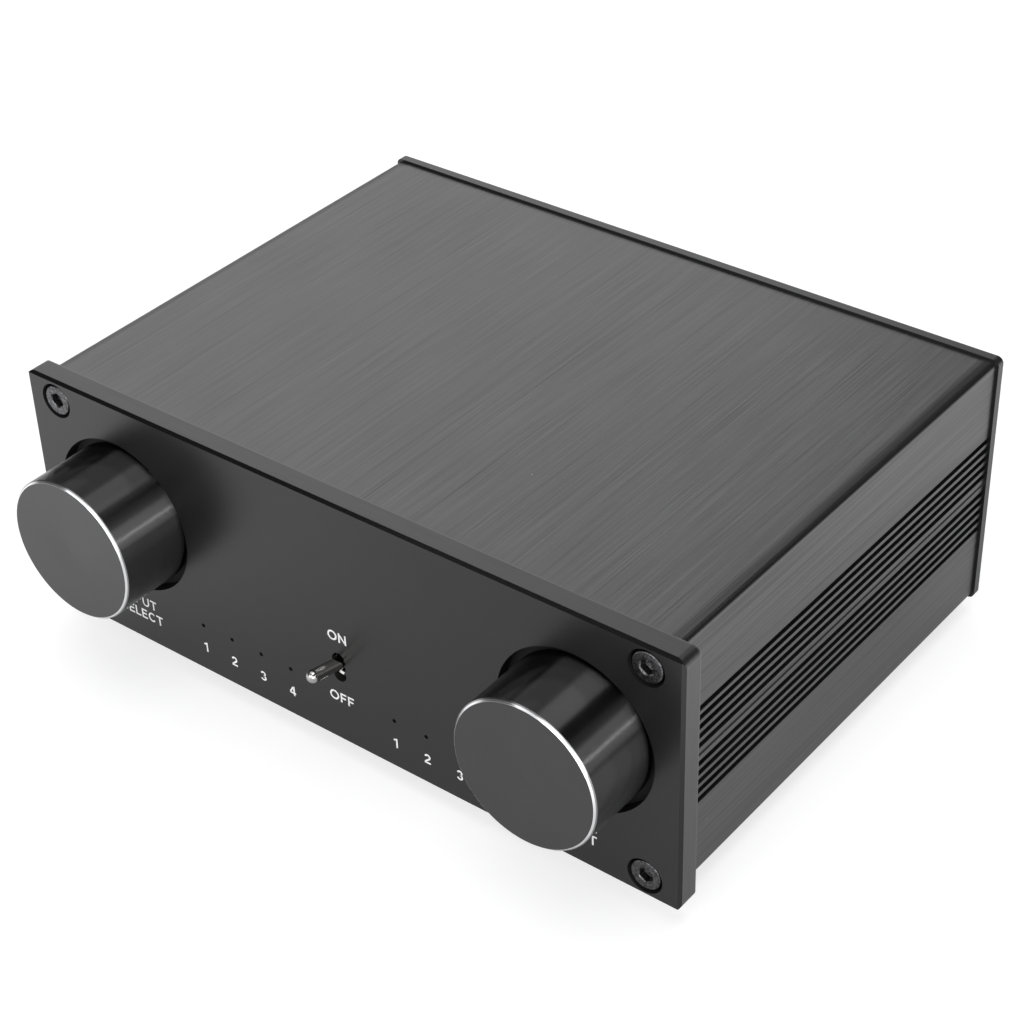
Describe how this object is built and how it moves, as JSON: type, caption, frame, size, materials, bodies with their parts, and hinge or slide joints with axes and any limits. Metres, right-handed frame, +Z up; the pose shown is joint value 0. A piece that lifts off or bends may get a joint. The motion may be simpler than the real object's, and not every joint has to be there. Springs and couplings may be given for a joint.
{
  "type": "audio source selector",
  "caption": "Desktop audio source selector: black extruded aluminium case with input and output rotary knobs, a power toggle, indicator lamps and rear phono sockets.",
  "frame": {"origin": "centre of the bounding box, at the surface that the feet stand on", "axes": "+Z up, the front panel faces -Y, +X to the right when looking at the front"},
  "size_m": [0.17, 0.1482, 0.0668],
  "materials": {
    "case_anodised": "black anodised, brushed along its length",
    "panel_anodised": "black anodised, fine bead-blasted",
    "knob_anodised": "black anodised, turned, with a bright cut bevel",
    "dark_steel": "blackened steel",
    "foot_rubber": "matt black",
    "nickel_plate": "polished nickel",
    "switch_metal": "zinc plated",
    "black_plastic": "moulded",
    "toggle_plastic": "moulded",
    "tinned_contact": "tin plated",
    "lamp_lens": "diffused epoxy",
    "circuit_board": "solder mask",
    "relay_plastic": "moulded",
    "capacitor_sleeve": "shrink sleeve",
    "white_plastic": "moulded",
    "red_plastic": "moulded"
  },
  "bodies": {
    "case": {"upper_shell": "case_anodised", "lower_shell": "case_anodised", "front_panel": "panel_anodised", "rear_panel": "panel_anodised", "front_panel_screws": "dark_steel", "rear_panel_screws": "dark_steel", "foot_screws": "dark_steel", "block_screws": "dark_steel", "feet": "foot_rubber", "toggle_bushing": "nickel_plate", "socket_sleeves": "nickel_plate", "input_bushing": "switch_metal", "output_bushing": "switch_metal", "bushing_nuts": "switch_metal", "bushing_washers": "switch_metal", "toggle_pivot_pin": "switch_metal", "input_switch_body": "black_plastic", "output_switch_body": "black_plastic", "board_header": "black_plastic", "socket_blocks": "black_plastic", "power_socket": "black_plastic", "toggle_body": "toggle_plastic", "input_switch_pins": "tinned_contact", "output_switch_pins": "tinned_contact", "toggle_pins": "tinned_contact", "header_pins": "tinned_contact", "power_socket_pin": "tinned_contact", "input_lamps": "lamp_lens", "output_lamps": "lamp_lens", "front_board": "circuit_board", "main_board": "circuit_board", "relays": "relay_plastic", "capacitors": "capacitor_sleeve", "left_inserts": "white_plastic", "right_inserts": "red_plastic"},
    "input_control": {"input_knob": "knob_anodised", "input_grub_screw": "dark_steel", "input_shaft": "switch_metal"},
    "output_control": {"output_knob": "knob_anodised", "output_grub_screw": "dark_steel", "output_shaft": "switch_metal"},
    "toggle": {"toggle_lever": "nickel_plate"}
  },
  "joints": [
    {"name": "input_turn", "type": "hinge", "parent": "case", "child": "input_control", "pos_m": [-0.0602, -0.0581, 0.0383], "axis": [0, 1, 0], "range_deg": [0, 90]},
    {"name": "output_turn", "type": "hinge", "parent": "case", "child": "output_control", "pos_m": [0.0602, -0.0581, 0.0383], "axis": [0, 1, 0], "range_deg": [0, 90]},
    {"name": "power_toggle", "type": "hinge", "parent": "case", "child": "toggle", "pos_m": [0, -0.0531, 0.0249], "axis": [1, 0, 0], "range_deg": [0, 25]}
  ]
}
